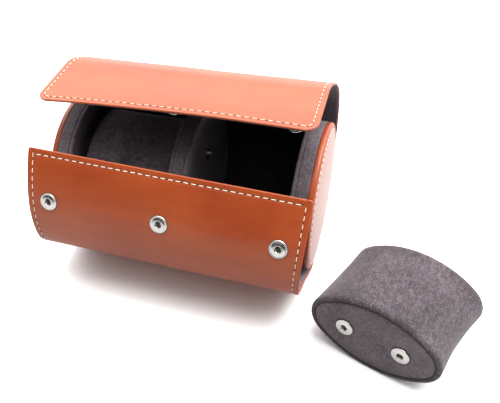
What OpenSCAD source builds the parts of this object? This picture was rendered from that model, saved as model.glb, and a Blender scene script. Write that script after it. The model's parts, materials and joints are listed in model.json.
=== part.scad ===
// Travel case for two watches: a leather wrap with a snap lid round a double barrel.
// Millimetres. X runs along the barrel, -Y is the open front, +Z is up, the floor is z = 0.

/* [Wrap] */
// Width of the leather wrap along the barrel.
wrap_width = 168; // [150:1:190]
// Thickness of the outer leather.
leather_thickness = 1.3; // [1:0.1:1.6]
// Thickness of the stiffening board between leather and lining.
board_thickness = 0.6; // [0.5:0.1:0.8]
// Thickness of the suede lining.
lining_thickness = 0.7; // [0.6:0.1:1]
// How far board and lining stop inside the side edges of the leather.
edge_margin = 1; // [0.6:0.1:2]
// Clear space between two wrap stretches at a hinge line.
hinge_gap = 0.3; // [0.2:0.05:0.5]
// Length of the flat foot in front of the barrel's lowest line.
foot_front = 16; // [14:0.5:18]

/* [Barrel] */
// Outside radius of the wrap where it lies on the barrel.
wrap_radius = 51.5; // [48:0.5:56]
// Width of each padded cheek at the ends of the barrel.
cheek_width = 10.2; // [8:0.2:12]
// Width of the divider between the two compartments.
divider_width = 11.3; // [9:0.1:13]
// Thickness of the suede on cheeks, divider and troughs.
suede_thickness = 0.8; // [0.6:0.1:1]
// Thickness of the board under each trough.
trough_board = 1.2; // [1:0.1:1.6]
// Angle of the trough's front lip, measured from +Y round the barrel.
front_lip_angle = 178; // [170:1:185]
// Angle of the trough's back lip.
back_lip_angle = 35; // [25:1:45]
// Height of the leather rim round each end.
end_rim_height = 1.1; // [0.8:0.1:1.4]
// Height of the padded shoulder on each end above its rim.
end_dome_height = 2.5; // [1.5:0.1:3]

/* [Front panel] */
// Length of the leather from the foot up to the stiff panel.
fold_length = 59.7; // [56:0.1:64]
// Heading at which the front leather leaves the foot, from +Y.
fold_heading = 150.6; // [148:0.1:154]
// Length of the panel's tight lower bend.
panel_bend_length = 9.84; // [8:0.1:12]
// Length of the panel's middle curve.
panel_curve_length = 31.42; // [28:0.1:34]
// Length of the panel's upper stretch.
panel_top_length = 24.96; // [22:0.1:28]

/* [Lid] */
// Distance behind the barrel's centre of the crease where the lid plate starts.
crease_back = 4; // [2:0.1:8]
// Height of the crease above the floor.
crease_height = 125.2; // [122:0.1:128]
// Length of the flat lid from crease to front edge.
lid_length = 47; // [44:0.5:50]
// Length of the lid's rear half, up to its middle crease.
lid_rear_length = 20; // [16:0.5:24]
// Radius of the lid's front corners.
lid_corner_radius = 8; // [4:0.5:12]

/* [Snaps] */
// Distance of the outer snaps from the wrap's side edges.
snap_inset = 14.2; // [12:0.1:22]
// Distance of the lid studs from the lid's front edge.
stud_inset = 8.5; // [7:0.1:10]
// Distance of the panel sockets from the panel's top edge.
socket_drop = 29; // [26:0.1:31]
// Outside diameter of a snap ring.
ring_diameter = 10.7; // [9.5:0.1:12.5]
// Height of a snap ring above the leather.
ring_height = 0.9; // [0.7:0.05:1]
// Diameter of the hole in a snap ring.
ring_hole = 4.4; // [4:0.1:5]
// Diameter of the ball of a stud.
ball_diameter = 3.2; // [2.8:0.1:3.4]
// Height of a lid stud above the lining.
stud_height = 1.8; // [1.5:0.1:2]

/* [Pillows] */
// Width of a pillow across its oval end.
pillow_width = 74.8; // [70:0.2:76]
// Height of a pillow across its oval end.
pillow_height = 47; // [44:0.2:50]
// Radius of the oval's tight ends.
pillow_end_radius = 16; // [12:0.5:18]
// Room between a seated pillow's far face and the cheek.
pillow_room = 4.55; // [3:0.05:9]
// Thickness of the pillow's suede cover and faces.
pillow_suede = 1.2; // [1:0.1:1.5]
// Distance of each pillow socket from the middle of the face.
pillow_snap_offset = 17.1; // [14:0.1:19]
// Tilt of the pillow's long axis in its compartment.
pillow_tilt = 35; // [30:1:40]

/* [Hidden] */

$fn = 96;
thickness = leather_thickness + board_thickness + lining_thickness;
mid_radius = wrap_radius - thickness / 2;
barrel_radius = wrap_radius - thickness;
core_radius = barrel_radius - suede_thickness;
cheek_outer = (wrap_width - 2 * end_dome_height - 2 * end_rim_height) / 2;
cheek_inner = cheek_outer - cheek_width;
wedge = 15;
fillet_radius = 20;
kink_reach = mid_radius * tan(wedge / 2);
fillet_reach = fillet_radius * tan(wedge / 2);
hinge_back_angle = 5;
back_bulge = 100;
fold_turn = 6;
bend_turn = 37.6;
curve_turn = 36;
top_turn = 11;
lid_heading = 187.5;
far = 1200;
pad_edge = 0.4;
tube_wall = 0.4;
cavity_diameter = 6;
lip_height = 0.4;
washer_diameter = 9;
washer_thickness = 0.45;
spring_wire = 0.4;
wire_play = 0.08;
post_diameter = 2.4;
back_diameter = 8;
back_thickness = 0.4;
stud_plate = 0.5;
stud_plate_diameter = 9;
divider_stud_height = 1.8;
pillow_gap = 0.1;
snap_spacing = wrap_width / 2 - snap_inset;
pillow_length = cheek_inner - divider_width / 2 - stud_plate - pillow_gap - ring_height - pillow_room;
pillow_centre = [-12.85, wrap_radius + 9.3];
loose_pillow = [wrap_width / 2 + 45.3, -86.9];
loose_turn = -20.1;

function rad(a) = a * PI / 180;
function chord(piece) = piece[1] == 0 ? piece[0] : piece[0] * sin(piece[1] / 2) / rad(piece[1] / 2);
function step(pose, piece) = [
    pose[0] + chord(piece) * cos(pose[2] + piece[1] / 2),
    pose[1] + chord(piece) * sin(pose[2] + piece[1] / 2),
    pose[2] + piece[1]];
function follow(pose, path, i = 0) = i == len(path) ? pose : follow(step(pose, path[i]), path, i + 1);

// Poses are [y, z, heading] of the wrap's middle surface; a path is a list of [length, turn].
foot_pose = [-foot_front, thickness / 2, 0];
base_path = [[foot_front + kink_reach - fillet_reach, 0], [rad(wedge) * fillet_radius, wedge],
    [kink_reach - fillet_reach, 0], [rad(90 + hinge_back_angle - wedge) * mid_radius,
    90 + hinge_back_angle - wedge]];
back_hinge = [mid_radius * cos(hinge_back_angle), wrap_radius + mid_radius * sin(hinge_back_angle)];
crease = [crease_back, crease_height];
back_chord = norm(crease - back_hinge);
back_bearing = atan2(crease[1] - back_hinge[1], crease[0] - back_hinge[0]);
back_length = rad(back_bulge / 2) * back_chord / 2 / sin(back_bulge / 2);
back_lower_pose = [back_hinge[0], back_hinge[1], back_bearing - back_bulge / 2];
back_path = [[back_length, back_bulge / 2]];
back_upper_pose = follow(back_lower_pose, back_path);
lid_rear_pose = [crease[0], crease[1], lid_heading];
lid_rear_path = [[lid_rear_length, 0]];
lid_front_pose = follow(lid_rear_pose, lid_rear_path);
lid_front_length = lid_length - lid_rear_length;
fold_lower_pose = [-foot_front, thickness / 2, fold_heading];
fold_path = [[fold_length / 2, -fold_turn / 2]];
fold_upper_pose = follow(fold_lower_pose, fold_path);
panel_pose = follow(fold_upper_pose, fold_path);
panel_path = [[panel_bend_length, -bend_turn], [panel_curve_length, -curve_turn],
    [panel_top_length, -top_turn]];
socket_run = panel_curve_length + panel_top_length - socket_drop;
socket_path = [[panel_bend_length, -bend_turn],
    [socket_run, -curve_turn * socket_run / panel_curve_length]];
socket_pose = follow(panel_pose, socket_path);
stud_pose = follow(lid_front_pose, [[lid_front_length - stud_inset, 0]]);

leather_band = [0, leather_thickness];
board_band = [leather_thickness, leather_thickness + board_thickness];
lining_band = [leather_thickness + board_thickness, thickness];
soft_lining_band = [leather_thickness, thickness];
inner_width = wrap_width - 2 * edge_margin;

tan_leather = [0.72, 0.42, 0.22];
pale_leather = [0.80, 0.52, 0.32];
suede = [0.42, 0.38, 0.40];
board_grey = [0.55, 0.53, 0.50];
foam = [0.85, 0.83, 0.78];
nickel = [0.80, 0.80, 0.82];

// Draws one stretch of a strip whose cross-section lies between two offsets left of its path.
module stretch(piece, low, high) {
    if (piece[1] == 0) {
        translate([0, low]) square([piece[0], high - low]);
    } else {
        radius = piece[0] / rad(abs(piece[1]));
        side = sign(piece[1]);
        translate([0, side * radius]) intersection() {
            difference() {
                circle(r = radius + (side > 0 ? -low : high), $fn = 180);
                circle(r = radius + (side > 0 ? -high : low), $fn = 180);
            }
            polygon([[0, 0], [0, -side * far], [far * sin(abs(piece[1]) / 2), -side * far],
                [far * sin(abs(piece[1])), -side * far * cos(piece[1])]]);
        }
    }
}

module trail(path, low, high, i = 0) {
    if (i < len(path)) {
        stretch(path[i], low, high);
        end = step([0, 0, 0], path[i]);
        translate([end[0], end[1]]) rotate(end[2]) trail(path, low, high, i + 1);
    }
}

// One layer of the wrap: band is measured inwards from the outer face, outside is its side.
module layer(path, band, outside) {
    low = outside > 0 ? thickness / 2 - band[1] : band[0] - thickness / 2;
    high = outside > 0 ? thickness / 2 - band[0] : band[1] - thickness / 2;
    trail(path, low, high);
}

// A layer that starts with a rounded end on its hinge line.
module hinged_layer(path, band, outside) {
    low = outside > 0 ? thickness / 2 - band[1] : band[0] - thickness / 2;
    high = outside > 0 ? thickness / 2 - band[0] : band[1] - thickness / 2;
    trail(path, low, high);
    intersection() {
        circle(d = thickness, $fn = 48);
        translate([-thickness, low]) square([thickness, high - low]);
    }
}

// Cuts away the end of a stretch so the next one can turn on its hinge line.
module end_relief(pose) {
    translate([pose[0], pose[1]]) rotate(pose[2])
        translate([-thickness / 2 - hinge_gap, -2 * thickness]) square([4 * thickness, 4 * thickness]);
}

module place(pose) { translate([pose[0], pose[1]]) rotate(pose[2]) children(); }

module across(width) { rotate([90, 0, 90]) linear_extrude(width, center = true) children(); }

// Stands children on a point of the wrap with +Z along the outward or inward normal.
module on_wrap(pose, lift, outward) {
    translate([0, pose[0], pose[1]]) rotate([pose[2], 0, 0]) translate([0, 0, outward * lift])
        rotate([outward > 0 ? 0 : 180, 0, 0]) children();
}

module snap_row() { for (x = [-snap_spacing, 0, snap_spacing]) translate([x, 0, 0]) children(); }

module base_profile(band) {
    difference() {
        place(foot_pose) layer(base_path, band, -1);
        translate([-foot_front - 1, -1]) square([1 + thickness / 2 + hinge_gap, thickness + 2]);
        end_relief(follow(foot_pose, base_path));
    }
}

module back_profile(pose, band) {
    difference() {
        place(pose) hinged_layer(back_path, band, -1);
        end_relief(follow(pose, back_path));
    }
}

module fold_profile(pose, band) {
    difference() {
        place(pose) hinged_layer(fold_path, band, 1);
        end_relief(follow(pose, fold_path));
    }
}

module base_leather() { color(tan_leather) across(wrap_width) base_profile(leather_band); }
module base_board() { color(board_grey) across(inner_width) base_profile(board_band); }
module base_lining() { color(suede) across(inner_width) base_profile(lining_band); }

module fold_lower_leather() {
    color(tan_leather) across(wrap_width) fold_profile(fold_lower_pose, leather_band);
}
module fold_lower_lining() {
    color(suede) across(inner_width) fold_profile(fold_lower_pose, soft_lining_band);
}
module fold_upper_leather() {
    color(tan_leather) across(wrap_width) fold_profile(fold_upper_pose, leather_band);
}
module fold_upper_lining() {
    color(suede) across(inner_width) fold_profile(fold_upper_pose, soft_lining_band);
}

module back_lower_leather() {
    color(tan_leather) across(wrap_width) back_profile(back_lower_pose, leather_band);
}
module back_lower_lining() {
    color(suede) across(inner_width) back_profile(back_lower_pose, soft_lining_band);
}
module back_upper_leather() {
    color(tan_leather) across(wrap_width) back_profile(back_upper_pose, leather_band);
}
module back_upper_lining() {
    color(suede) across(inner_width) back_profile(back_upper_pose, soft_lining_band);
}

module panel_layer(width, band) { across(width) place(panel_pose) hinged_layer(panel_path, band, 1); }

module socket_holes(diameter) {
    snap_row() on_wrap(socket_pose, 0, 1) cylinder(d = diameter, h = 4 * thickness, center = true);
}

module panel_leather() {
    color(tan_leather) difference() {
        panel_layer(wrap_width, leather_band);
        socket_holes(cavity_diameter + 2 * tube_wall);
    }
}
module panel_board() {
    color(board_grey) difference() {
        panel_layer(inner_width, board_band);
        socket_holes(cavity_diameter + 2 * tube_wall);
    }
}
module panel_lining() {
    color(suede) difference() {
        panel_layer(inner_width, lining_band);
        socket_holes(washer_diameter);
    }
}

// Socket half of a snap: a raised ring with a lip round its hole, and a wide tube down under it.
module snap_ring(depth) {
    rotate_extrude() difference() {
        union() {
            translate([ring_hole / 2, 0])
                square([ring_diameter / 2 - ring_hole / 2 - ring_height / 2, ring_height]);
            intersection() {
                translate([ring_diameter / 2 - ring_height / 2, ring_height / 2])
                    circle(d = ring_height, $fn = 24);
                square([ring_diameter, ring_height]);
            }
            translate([cavity_diameter / 2, -depth]) square([tube_wall, depth + ring_height / 2]);
        }
        translate([0, -depth - 1]) square([cavity_diameter / 2, depth + 1 + lip_height]);
        translate([ring_hole / 2, ring_height]) circle(r = ring_height / 4, $fn = 24);
    }
}

// Two straight wires under the lip that grip the neck of the stud between them.
module snap_spring() {
    offset_across = ball_diameter / 2 + spring_wire / 2 + wire_play;
    half_chord = sqrt(pow(cavity_diameter / 2, 2) - pow(offset_across + spring_wire / 2, 2));
    for (s = [-1, 1]) translate([s * offset_across, 0, lip_height - spring_wire / 2])
        rotate([90, 0, 0]) cylinder(d = spring_wire, h = 2 * half_chord, center = true, $fn = 24);
}

// Stud half of a snap: neck and ball standing on the face it is fixed to.
module stud_knob(height) {
    cylinder(d = ball_diameter * 0.8, h = height - ball_diameter * 0.3, $fn = 48);
    translate([0, 0, height - ball_diameter * 0.3]) intersection() {
        sphere(d = ball_diameter, $fn = 48);
        cube([ball_diameter * 2, ball_diameter * 2, ball_diameter * 0.6], center = true);
    }
}

module panel_ring(x) {
    color(nickel) translate([x, 0, 0]) on_wrap(socket_pose, thickness / 2, 1)
        snap_ring(thickness - washer_thickness);
}
module panel_ring_left() { panel_ring(-snap_spacing); }
module panel_ring_middle() { panel_ring(0); }
module panel_ring_right() { panel_ring(snap_spacing); }
module panel_springs() {
    color(nickel) snap_row() on_wrap(socket_pose, thickness / 2, 1) snap_spring();
}
module panel_socket_backs() {
    color(nickel) snap_row() on_wrap(socket_pose, -thickness / 2, 1)
        cylinder(d = washer_diameter, h = washer_thickness);
}

module lid_rear_layer(width, band) {
    across(width) difference() {
        place(lid_rear_pose) hinged_layer(lid_rear_path, band, -1);
        end_relief(follow(lid_rear_pose, lid_rear_path));
    }
}
module lid_rear_leather() { color(tan_leather) lid_rear_layer(wrap_width, leather_band); }
module lid_rear_board() { color(board_grey) lid_rear_layer(inner_width, board_band); }
module lid_rear_lining() { color(suede) lid_rear_layer(inner_width, lining_band); }

// Front half of the lid: a layer cut to the rounded front corners.
module lid_front_layer(width, band, inset) {
    reach = lid_front_length - inset;
    corner = lid_corner_radius - inset;
    intersection() {
        across(width) place(lid_front_pose) hinged_layer([[reach, 0]], band, -1);
        on_wrap(lid_front_pose, 0, 1) linear_extrude(4 * thickness, center = true) {
            translate([-width / 2, -thickness]) square([width, reach + thickness - corner]);
            translate([-width / 2 + corner, 0]) square([width - 2 * corner, reach]);
            for (side = [-1, 1]) translate([side * (width / 2 - corner), reach - corner])
                circle(r = corner, $fn = 64);
        }
    }
}

module lid_front_leather() {
    color(tan_leather) difference() {
        lid_front_layer(wrap_width, leather_band, 0);
        lid_hole(back_diameter, board_thickness + lining_thickness,
            board_thickness + lining_thickness + back_thickness);
    }
}
module lid_front_board() {
    color(board_grey) difference() {
        lid_front_layer(inner_width, board_band, edge_margin);
        lid_hole(post_diameter, 0, thickness);
    }
}
module lid_front_lining() {
    color(suede) difference() {
        lid_front_layer(inner_width, lining_band, edge_margin);
        lid_hole(washer_diameter, -1, lining_thickness);
    }
}

// Cylinders at the lid studs, measured up from the lid's inner face towards its outer face.
module lid_hole(diameter, low, high) {
    snap_row() on_wrap(stud_pose, thickness / 2, 1) rotate([180, 0, 0]) translate([0, 0, low])
        cylinder(d = diameter, h = high - low);
}

module lid_stud(x) {
    color(nickel) translate([x, 0, 0]) on_wrap(stud_pose, thickness / 2, 1) {
        stud_knob(stud_height);
        translate([0, 0, -lining_thickness]) cylinder(d = washer_diameter, h = lining_thickness);
        translate([0, 0, -lining_thickness - board_thickness])
            cylinder(d = post_diameter, h = board_thickness + lining_thickness / 2);
    }
}
module lid_stud_left() { lid_stud(-snap_spacing); }
module lid_stud_middle() { lid_stud(0); }
module lid_stud_right() { lid_stud(snap_spacing); }
module lid_stud_backs() {
    color(nickel) lid_hole(back_diameter, board_thickness + lining_thickness,
        board_thickness + lining_thickness + back_thickness);
}

// Turns a shape drawn along +Z to stand on the barrel's axis, its base at x and rising outwards.
module on_axis(x, side) {
    translate([x, 0, wrap_radius]) rotate([0, side * 90, 0]) children();
}

module cheek_core(side) {
    color(board_grey) on_axis(side * (cheek_inner + suede_thickness), side)
        cylinder(r = core_radius, h = cheek_width - suede_thickness, $fn = 180);
}
module cheek_suede(side) {
    color(suede) on_axis(side * cheek_inner, side) difference() {
        cylinder(r = barrel_radius, h = cheek_width, $fn = 180);
        translate([0, 0, suede_thickness]) cylinder(r = core_radius, h = cheek_width, $fn = 180);
    }
}
module cheek_left_core() { cheek_core(-1); }
module cheek_left_suede() { cheek_suede(-1); }
module cheek_right_core() { cheek_core(1); }
module cheek_right_suede() { cheek_suede(1); }

module divider_stud_places(side) {
    for (s = [-1, 1]) translate([0, pillow_centre[0] + s * pillow_snap_offset * cos(pillow_tilt),
        pillow_centre[1] + s * pillow_snap_offset * sin(pillow_tilt)])
            rotate([0, side * 90, 0]) children();
}

module divider_posts() {
    divider_stud_places(1) cylinder(d = post_diameter, h = 2 * divider_width, center = true, $fn = 48);
}

module divider_core() {
    color(board_grey) difference() {
        on_axis(-divider_width / 2 + suede_thickness, 1)
            cylinder(r = core_radius, h = divider_width - 2 * suede_thickness, $fn = 180);
        divider_posts();
    }
}
module divider_band() {
    color(suede) on_axis(-divider_width / 2, 1) difference() {
        cylinder(r = barrel_radius, h = divider_width, $fn = 180);
        translate([0, 0, -1]) cylinder(r = core_radius, h = divider_width + 2, $fn = 180);
    }
}
module divider_face(side) {
    color(suede) difference() {
        on_axis(side * (divider_width / 2 - suede_thickness), side)
            cylinder(r = core_radius, h = suede_thickness, $fn = 180);
        divider_posts();
    }
}
module divider_face_left() { divider_face(-1); }
module divider_face_right() { divider_face(1); }

module divider_stud_row(side) {
    color(nickel) divider_stud_places(side) {
        cylinder(d = post_diameter, h = divider_width / 2 + stud_plate / 2, $fn = 48);
        translate([0, 0, divider_width / 2]) cylinder(d = stud_plate_diameter, h = stud_plate);
        translate([0, 0, divider_width / 2 + stud_plate]) stud_knob(divider_stud_height);
    }
}
module divider_studs_left() { divider_stud_row(-1); }
module divider_studs_right() { divider_stud_row(1); }

// Open shell between two radii that runs round the bottom from the front lip to the back lip.
module trough_ring(side, inner, outer) {
    width = cheek_inner - divider_width / 2;
    sweep = 360 + back_lip_angle - front_lip_angle;
    translate([side * (cheek_inner + divider_width / 2) / 2, 0, wrap_radius]) across(width)
        rotate(front_lip_angle) difference() {
            circle(r = outer, $fn = 180);
            circle(r = inner, $fn = 180);
            polygon([[0, 0], [far * cos(sweep), far * sin(sweep)],
                [-far * cos(sweep / 2), -far * sin(sweep / 2)], [far, 0]]);
        }
}
module trough_board_part(side) {
    color(board_grey) trough_ring(side, barrel_radius - trough_board, barrel_radius);
}
module trough_lining_part(side) {
    color(suede) trough_ring(side, barrel_radius - trough_board - suede_thickness,
        barrel_radius - trough_board);
}
module trough_left_board() { trough_board_part(-1); }
module trough_left_lining() { trough_lining_part(-1); }
module trough_right_board() { trough_board_part(1); }
module trough_right_lining() { trough_lining_part(1); }

// Low cushion with a short cylindrical edge and a rounded shoulder.
module cushion(foot, edge, height) {
    rotate_extrude($fn = 180) {
        square([foot, edge]);
        square([foot - height, edge + height]);
        intersection() {
            translate([foot - height, edge]) circle(r = height, $fn = 48);
            square([foot, edge + height]);
        }
    }
}

module end_pad(side) {
    color(foam) on_axis(side * cheek_outer, side)
        cushion(barrel_radius - end_rim_height, pad_edge, end_dome_height - 0.2);
}
module end_leather(side) {
    color(pale_leather) on_axis(side * cheek_outer, side) difference() {
        cushion(barrel_radius, end_rim_height, end_dome_height);
        cushion(barrel_radius - end_rim_height, pad_edge, end_dome_height - 0.2);
    }
}
module end_left_pad() { end_pad(-1); }
module end_left_leather() { end_leather(-1); }
module end_right_pad() { end_pad(1); }
module end_right_leather() { end_leather(1); }

// Oval of four tangent arcs, grown or shrunk by a margin.
module oval(margin) {
    half_width = pillow_width / 2 + margin;
    half_height = pillow_height / 2 + margin;
    end_radius = pillow_end_radius + margin;
    centre = half_width - end_radius;
    side_radius = (centre * centre + half_height * half_height - end_radius * end_radius)
        / (2 * (half_height - end_radius));
    tangent = centre + end_radius * centre / (side_radius - end_radius);
    for (s = [-1, 1]) translate([s * centre, 0]) circle(r = end_radius, $fn = 96);
    intersection() {
        translate([0, half_height - side_radius]) circle(r = side_radius, $fn = 180);
        translate([0, side_radius - half_height]) circle(r = side_radius, $fn = 180);
        square([2 * tangent, 2 * half_height + 1], center = true);
    }
}

// A pillow is drawn on its end: the snap face at z = 0 looks down, the far face is at its length.
module pillow_core() {
    color(foam) translate([0, 0, pillow_suede]) linear_extrude(pillow_length - 2 * pillow_suede)
        oval(-pillow_suede);
}
module pillow_cover() {
    color(suede) linear_extrude(pillow_length) difference() {
        oval(0);
        oval(-pillow_suede);
    }
}
module pillow_socket_places() {
    for (s = [-1, 1]) translate([s * pillow_snap_offset, 0, 0]) children();
}
module pillow_near_face() {
    color(suede) difference() {
        linear_extrude(pillow_suede) oval(-pillow_suede);
        pillow_socket_places() translate([0, 0, -1])
            cylinder(d = cavity_diameter + 2 * tube_wall, h = pillow_suede + 2);
    }
}
module pillow_far_face() {
    color(suede) translate([0, 0, pillow_length - pillow_suede])
        linear_extrude(pillow_suede) oval(-pillow_suede);
}
module pillow_rings() {
    color(nickel) pillow_socket_places() rotate([180, 0, 0]) snap_ring(pillow_suede);
}
module pillow_springs() {
    color(nickel) pillow_socket_places() rotate([180, 0, 0]) snap_spring();
}

// The left pillow hangs on the divider's studs; the right one is out, lying on the floor.
module in_left() {
    translate([-divider_width / 2 - stud_plate - pillow_gap - ring_height, pillow_centre[0],
        pillow_centre[1]]) rotate([0, -90, 0]) rotate(90 - pillow_tilt) children();
}
module on_floor() {
    translate([loose_pillow[0], loose_pillow[1], pillow_height / 2]) rotate(loose_turn)
        rotate([-90, 0, 0]) children();
}

module pillow_left_core() { in_left() pillow_core(); }
module pillow_left_cover() { in_left() pillow_cover(); }
module pillow_left_near_face() { in_left() pillow_near_face(); }
module pillow_left_far_face() { in_left() pillow_far_face(); }
module pillow_left_rings() { in_left() pillow_rings(); }
module pillow_left_springs() { in_left() pillow_springs(); }
module pillow_right_core() { on_floor() pillow_core(); }
module pillow_right_cover() { on_floor() pillow_cover(); }
module pillow_right_near_face() { on_floor() pillow_near_face(); }
module pillow_right_far_face() { on_floor() pillow_far_face(); }
module pillow_right_rings() { on_floor() pillow_rings(); }
module pillow_right_springs() { on_floor() pillow_springs(); }

base_leather();
base_board();
base_lining();
fold_lower_leather();
fold_lower_lining();
fold_upper_leather();
fold_upper_lining();
panel_leather();
panel_board();
panel_lining();
back_lower_leather();
back_lower_lining();
back_upper_leather();
back_upper_lining();
lid_rear_leather();
lid_rear_board();
lid_rear_lining();
lid_front_leather();
lid_front_board();
lid_front_lining();
lid_stud_left();
lid_stud_middle();
lid_stud_right();
lid_stud_backs();
panel_ring_left();
panel_ring_middle();
panel_ring_right();
panel_springs();
panel_socket_backs();
cheek_left_core();
cheek_left_suede();
cheek_right_core();
cheek_right_suede();
divider_core();
divider_band();
divider_face_left();
divider_face_right();
divider_studs_left();
divider_studs_right();
trough_left_board();
trough_left_lining();
trough_right_board();
trough_right_lining();
end_left_pad();
end_left_leather();
end_right_pad();
end_right_leather();
pillow_left_core();
pillow_left_cover();
pillow_left_near_face();
pillow_left_far_face();
pillow_left_rings();
pillow_left_springs();
pillow_right_core();
pillow_right_cover();
pillow_right_near_face();
pillow_right_far_face();
pillow_right_rings();
pillow_right_springs();
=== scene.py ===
import json
import math
import random
from collections import namedtuple

import bpy
import bmesh
from mathutils import Matrix, Vector, noise


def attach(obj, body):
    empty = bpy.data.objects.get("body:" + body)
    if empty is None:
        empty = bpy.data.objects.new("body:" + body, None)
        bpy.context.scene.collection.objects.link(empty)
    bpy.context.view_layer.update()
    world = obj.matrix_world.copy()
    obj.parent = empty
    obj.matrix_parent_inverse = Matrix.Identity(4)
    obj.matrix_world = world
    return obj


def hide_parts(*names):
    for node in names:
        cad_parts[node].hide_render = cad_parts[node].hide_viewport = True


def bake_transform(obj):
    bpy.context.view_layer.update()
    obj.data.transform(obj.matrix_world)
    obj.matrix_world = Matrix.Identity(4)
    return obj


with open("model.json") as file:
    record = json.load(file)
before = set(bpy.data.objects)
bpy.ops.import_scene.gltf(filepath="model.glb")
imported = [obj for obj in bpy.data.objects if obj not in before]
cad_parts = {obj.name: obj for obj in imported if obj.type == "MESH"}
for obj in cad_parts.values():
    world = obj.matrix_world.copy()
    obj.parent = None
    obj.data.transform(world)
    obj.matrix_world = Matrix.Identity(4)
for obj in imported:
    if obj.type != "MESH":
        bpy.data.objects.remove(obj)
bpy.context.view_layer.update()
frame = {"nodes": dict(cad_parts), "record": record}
random.seed(7)

# The watch travel case stands open: a leather wrap on seven hinge lines round a suede-lined barrel, one
# pillow inside and one on the table. Lengths are in mm and angles in degrees unless a comment says otherwise.
# +X runs along the barrel, -Y faces the viewer, and s is the distance along the wrap from the front panel's
# top edge.

MM = 0.001

# ---------------------------------------------------------------- sizes of the wrap

WIDTH = 168.0           # along the barrel
HALF = WIDTH / 2
LEATHER = 1.3
THICK = 2.6             # leather, board and lining together
WRAP_R = 51.5           # outside of the wrap on the barrel
AXIS_Z = WRAP_R         # the barrel's axis over the table
MID_R = WRAP_R - THICK / 2
BARREL_R = WRAP_R - THICK
EDGE_STITCH = 3.5       # stitch line to edge of leather
CORNER_R = 8.0          # the lid's front corners
PANEL_CORNER_R = 1.6
TABLE_GAP = 0.05        # the wrap's lowest skin over the table

# Directions are measured from +Y towards +Z. A path is a list of (length, turn).
FOLD_LEN, FOLD_ANGLE, FOLD_TURN = 59.7, 150.6, -6.0
PANEL_ANGLE = FOLD_ANGLE + FOLD_TURN
PANEL_PATH = [(9.84, -37.6), (31.42, -36.0), (24.96, -11.0)]
FOOT_TURN, FOOT_FILLET = 15.0, 20.0     # bend from the flat foot to the barrel's circle
HUG_TURN = 80.0                         # part of the circle that the base follows
BACK_LEN, BACK_ANGLE, BACK_TURN = 47.39, 73.57, 100.0
LID_LEN, LID_ANGLE = 47.0, 187.5


def heading(degrees):
    """Unit vector (y, z) at an angle from +Y."""
    return Vector((math.cos(math.radians(degrees)), math.sin(math.radians(degrees))))


def walk(start, angle, path, step=0.5):
    """Points along a path from a start point, in the (y, z) plane."""
    points = [Vector(start)]
    for length, turn in path:
        count = max(1, round(length / step))
        for _ in range(count):
            points.append(points[-1] + heading(angle + turn / count / 2) * length / count)
            angle += turn / count
    return points


# Hinge lines of the wrap, in the (y, z) plane: the same places as the joints of the frame.
HINGE = {j["name"]: Vector((j["pos_m"][1], j["pos_m"][2])) / MM
         for j in frame["record"]["behaviour"]["joints"] if j["type"] == "hinge"}
FOOT, FRONT, PANEL = HINGE["foot_fold"], HINGE["front_fold"], HINGE["panel_fold"]
BACK, BEND, CREASE, LID = (HINGE["back_fold"], HINGE["back_bend"], HINGE["lid_crease"],
                           HINGE["lid_bend"])

fold = walk(FOOT, FOLD_ANGLE, [(FOLD_LEN, FOLD_TURN)])
panel = walk(fold[-1], PANEL_ANGLE, PANEL_PATH)
straight = (MID_R - FOOT_FILLET) * math.tan(math.radians(FOOT_TURN / 2))
foot = walk(FOOT, 0, [(straight - FOOT.x, 0), (FOOT_FILLET * math.radians(FOOT_TURN), FOOT_TURN),
                      (straight, 0), (MID_R * math.radians(HUG_TURN), HUG_TURN)])
back = walk(BACK, BACK_ANGLE, [(2 * BACK_LEN, BACK_TURN)])
lid = walk(CREASE, LID_ANGLE, [(LID_LEN, 0)])
outline = panel[::-1] + fold[::-1][1:] + foot[1:] + back[1:] + lid[1:]


def resample(points, step):
    """The same line with evenly spaced points."""
    out, left = [points[0]], step
    for a, b in zip(points, points[1:]):
        span = (b - a).length
        while span >= left > 0:
            a = a + (b - a) * (left / span)
            out.append(a.copy())
            span -= left
            left = step
        left -= span
    out.append(points[-1])
    return out


def soften(points, reach, passes):
    """Rounds off kinks by averaging neighbours; the ends stay."""
    for _ in range(passes):
        inner = [a * reach + p * (1 - 2 * reach) + b * reach
                 for a, p, b in zip(points, points[1:], points[2:])]
        points = [points[0]] + inner + [points[-1]]
    return points


LINE = soften(resample(outline, 1.0), 0.25, 10)
RUN = [0.0]
for a, b in zip(LINE, LINE[1:]):
    RUN.append(RUN[-1] + (b - a).length)
TOTAL = RUN[-1]


def tangent(k):
    """Direction of the line at its k-th point."""
    k = min(max(k, 1), len(LINE) - 2)
    return (LINE[k + 1] - LINE[k - 1]).normalized()


def on_line(s):
    """Point and outward normal of the wrap's middle surface at s."""
    s = min(max(s, 0), TOTAL)
    i = min(int(s / TOTAL * (len(RUN) - 1)), len(RUN) - 2)
    while RUN[i + 1] < s:
        i += 1
    while RUN[i] > s:
        i -= 1
    t = (s - RUN[i]) / (RUN[i + 1] - RUN[i])
    d = tangent(i).lerp(tangent(i + 1), t).normalized()
    return LINE[i].lerp(LINE[i + 1], t), Vector((d.y, -d.x))


def nearest_run(point):
    """Distance along the wrap of the place nearest to a point."""
    return min(range(len(LINE)), key=lambda i: (LINE[i] - point).length) * TOTAL / (len(LINE) - 1)


S_FOOT, S_FRONT, S_PANEL = nearest_run(FOOT), nearest_run(FRONT), nearest_run(PANEL)
S_BACK, S_BEND, S_CREASE, S_LID = (nearest_run(BACK), nearest_run(BEND), nearest_run(CREASE),
                                   nearest_run(LID))
S_HUG = (S_FOOT + S_BACK) / 2 + 12      # where the base lies on the barrel

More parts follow.
